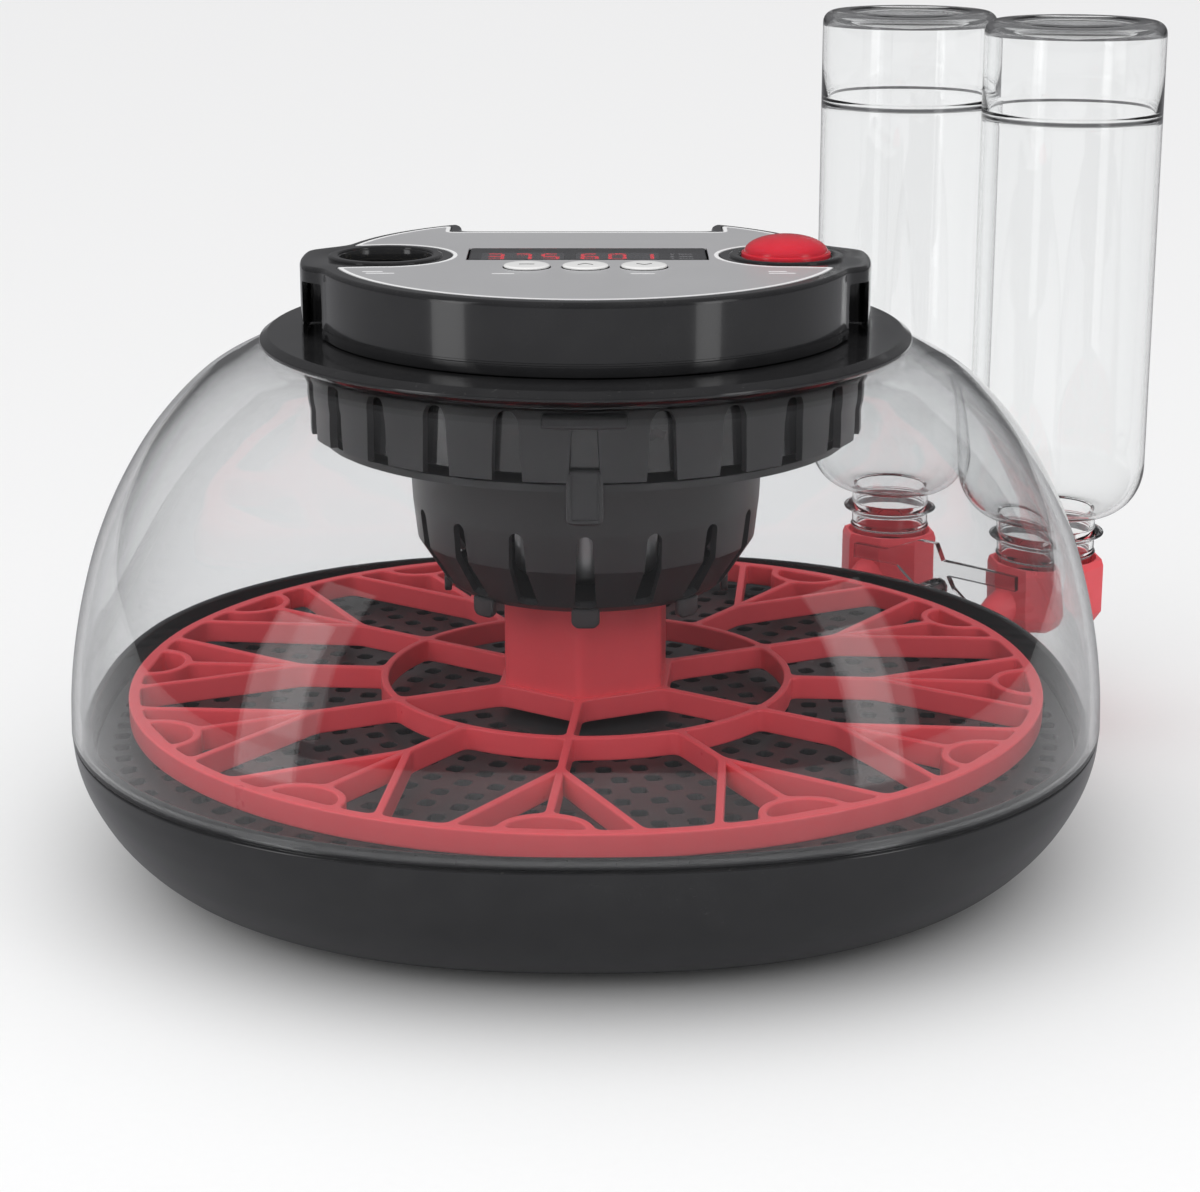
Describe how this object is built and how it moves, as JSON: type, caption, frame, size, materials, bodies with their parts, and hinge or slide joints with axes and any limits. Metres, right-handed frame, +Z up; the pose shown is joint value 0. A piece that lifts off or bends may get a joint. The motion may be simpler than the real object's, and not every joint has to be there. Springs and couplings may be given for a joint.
{
  "type": "egg incubator",
  "caption": "Tabletop egg incubator: clear lift-off dome on a black base, turning red egg carrier, control head with fan guard and candling eye, and inverted water bottles at the rear.",
  "frame": {"origin": "on the dome's and turner's axis, at the flat rest boss under the base, level with the table", "axes": "+Z up, -Y towards the user (the side with the keys), +X to the user's right; the bottles stand at +X +Y"},
  "size_m": [0.2959, 0.2944, 0.205],
  "materials": {
    "gloss_black": "high-gloss moulded black plastic",
    "satin_black": "satin moulded black plastic",
    "coral_red": "semi-gloss coral red plastic",
    "clear_dome": "clear moulded plastic",
    "clear_bottle": "clear blown plastic",
    "clear_bracket": "clear moulded plastic",
    "soft_rubber": "matte rubber",
    "silver_label": "satin silver-grey printed sheet with a white edge",
    "white_key": "smooth white plastic",
    "display_glass": "dark polished window",
    "candling_lens": "clear lens",
    "lamp": "warm lamp emitter",
    "board": "green circuit board",
    "steel": "plain bright steel"
  },
  "bodies": {
    "base": {"base_shell": "gloss_black", "floor_grille": "satin_black", "foot_front_right": "soft_rubber", "foot_rear_right": "soft_rubber", "foot_rear_left": "soft_rubber", "foot_front_left": "soft_rubber", "water_socket_1": "coral_red", "water_socket_2": "coral_red", "neck_seal_1": "soft_rubber", "neck_seal_2": "soft_rubber", "spout_grommet_1": "soft_rubber", "spout_grommet_2": "soft_rubber", "bottle_bracket": "clear_bracket", "bracket_screw_1": "steel", "bracket_screw_2": "steel"},
    "turner": {"turner_disc": "coral_red"},
    "dome": {"dome_shell": "clear_dome"},
    "head": {"head_cover": "gloss_black", "head_flange": "gloss_black", "vent_crown": "satin_black", "fan_guard": "satin_black", "control_label": "silver_label", "display_window": "display_glass", "display_module": "satin_black", "control_board": "board", "key_switch_set": "satin_black", "key_switch_up": "satin_black", "key_switch_down": "satin_black", "lamp_switch": "satin_black", "candling_tube": "satin_black", "candling_lens": "candling_lens", "candling_lamp": "lamp", "power_inlet": "satin_black", "head_screw_front_right": "steel", "head_screw_front_left": "steel", "head_screw_rear_right": "steel", "head_screw_rear_left": "steel", "fan_motor": "steel", "drive_motor": "steel", "heater_ring": "steel", "sensor_probe": "satin_black"},
    "coupler": {"drive_coupler": "white_key"},
    "fan": {"fan_rotor": "satin_black"},
    "set_key": {"key_set": "white_key"},
    "up_key": {"key_up": "white_key"},
    "down_key": {"key_down": "white_key"},
    "lamp_push": {"lamp_button": "coral_red"},
    "left_bottle": {"bottle_1": "clear_bottle"},
    "right_bottle": {"bottle_2": "clear_bottle"}
  },
  "joints": [
    {"name": "turner_spin", "type": "hinge", "parent": "base", "child": "turner", "pos_m": [0, 0, 0.04], "axis": [0, 0, 1], "continuous": true},
    {"name": "dome_lift", "type": "slide", "parent": "base", "child": "dome", "axis": [0, 0, 1], "range_m": [0, 0.15]},
    {"name": "head_lift", "type": "slide", "parent": "dome", "child": "head", "axis": [0, 0, 1], "range_m": [0, 0.09]},
    {"name": "coupler_spin", "type": "hinge", "parent": "head", "child": "coupler", "pos_m": [0, 0, 0.06], "axis": [0, 0, 1], "continuous": true},
    {"name": "fan_spin", "type": "hinge", "parent": "head", "child": "fan", "pos_m": [0, 0, 0.104], "axis": [0, 0, 1], "continuous": true},
    {"name": "set_key_press", "type": "slide", "parent": "head", "child": "set_key", "axis": [0, 0, -1], "range_m": [0, 0.0005], "stiffness_N_per_m": 1500},
    {"name": "up_key_press", "type": "slide", "parent": "head", "child": "up_key", "axis": [0, 0, -1], "range_m": [0, 0.0005], "stiffness_N_per_m": 1500},
    {"name": "down_key_press", "type": "slide", "parent": "head", "child": "down_key", "axis": [0, 0, -1], "range_m": [0, 0.0005], "stiffness_N_per_m": 1500},
    {"name": "lamp_press", "type": "slide", "parent": "head", "child": "lamp_push", "axis": [0, 0, -1], "range_m": [0, 0.002], "stiffness_N_per_m": 600},
    {"name": "left_bottle_lift", "type": "slide", "parent": "base", "child": "left_bottle", "axis": [0, 0, 1], "range_m": [0, 0.04]},
    {"name": "right_bottle_lift", "type": "slide", "parent": "base", "child": "right_bottle", "axis": [0, 0, 1], "range_m": [0, 0.04]}
  ],
  "couplings": [
    {"joint": "coupler_spin", "follows": "turner_spin", "ratio": 1}
  ]
}
